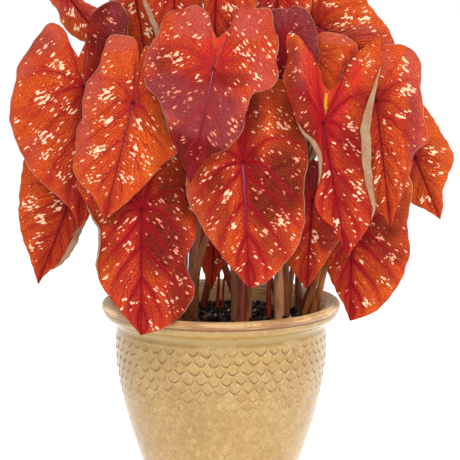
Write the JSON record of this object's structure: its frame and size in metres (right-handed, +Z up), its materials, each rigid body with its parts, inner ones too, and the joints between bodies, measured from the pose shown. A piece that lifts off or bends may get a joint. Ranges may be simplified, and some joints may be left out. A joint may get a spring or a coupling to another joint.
{
  "type": "potted caladium",
  "caption": "Caladium in a round glazed pot: hanging heart-shaped speckled leaves, each on its own slender petiole rooted in dark potting soil.",
  "frame": {"origin": "centre of the pot's flat foot, on the surface it stands on", "axes": "+Z up, the plant's front towards -Y, +X to the right as seen from the front"},
  "size_m": [0.4398, 0.2638, 0.551],
  "materials": {
    "glaze": "glossy cream-tan glaze",
    "soil": "dark crumbly potting soil",
    "leaf_red": "satin orange-red leaf with crimson veins and cream flecks",
    "leaf_maroon": "satin dark maroon leaf",
    "petiole": "satin red-brown leaf stalk"
  },
  "bodies": {
    "root": {"pot": "glaze", "soil": "soil", "leaf_far_left": "leaf_red", "petiole_far_left": "petiole", "leaf_low_left": "leaf_red", "petiole_low_left": "petiole", "leaf_front_left": "leaf_red", "petiole_front_left": "petiole", "leaf_top_centre": "leaf_red", "petiole_top_centre": "petiole", "leaf_front_centre": "leaf_red", "petiole_front_centre": "petiole", "leaf_right_centre": "leaf_red", "petiole_right_centre": "petiole", "leaf_right_upper": "leaf_red", "petiole_right_upper": "petiole", "leaf_far_right": "leaf_red", "petiole_far_right": "petiole", "leaf_low_right": "leaf_red", "petiole_low_right": "petiole", "leaf_low_front": "leaf_red", "petiole_low_front": "petiole", "leaf_top_left": "leaf_red", "petiole_top_left": "petiole", "leaf_scarlet": "leaf_red", "petiole_scarlet": "petiole", "leaf_dark_red": "leaf_red", "petiole_dark_red": "petiole", "leaf_top_inner": "leaf_red", "petiole_top_inner": "petiole", "leaf_top_behind": "leaf_red", "petiole_top_behind": "petiole", "leaf_maroon": "leaf_maroon", "petiole_maroon": "petiole", "leaf_top_right": "leaf_red", "petiole_top_right": "petiole", "leaf_orange": "leaf_red", "petiole_orange": "petiole", "leaf_low_centre": "leaf_red", "petiole_low_centre": "petiole", "leaf_small": "leaf_red", "petiole_small": "petiole", "leaf_back_centre": "leaf_red", "petiole_back_centre": "petiole", "leaf_back_left": "leaf_red", "petiole_back_left": "petiole", "leaf_back_right": "leaf_red", "petiole_back_right": "petiole", "leaf_back_low": "leaf_red", "petiole_back_low": "petiole", "leaf_side_left": "leaf_red", "petiole_side_left": "petiole", "leaf_side_right": "leaf_red", "petiole_side_right": "petiole", "leaf_low_side_left": "leaf_red", "petiole_low_side_left": "petiole", "leaf_low_side_right": "leaf_red", "petiole_low_side_right": "petiole", "sprout": "petiole"}
  },
  "joints": []
}
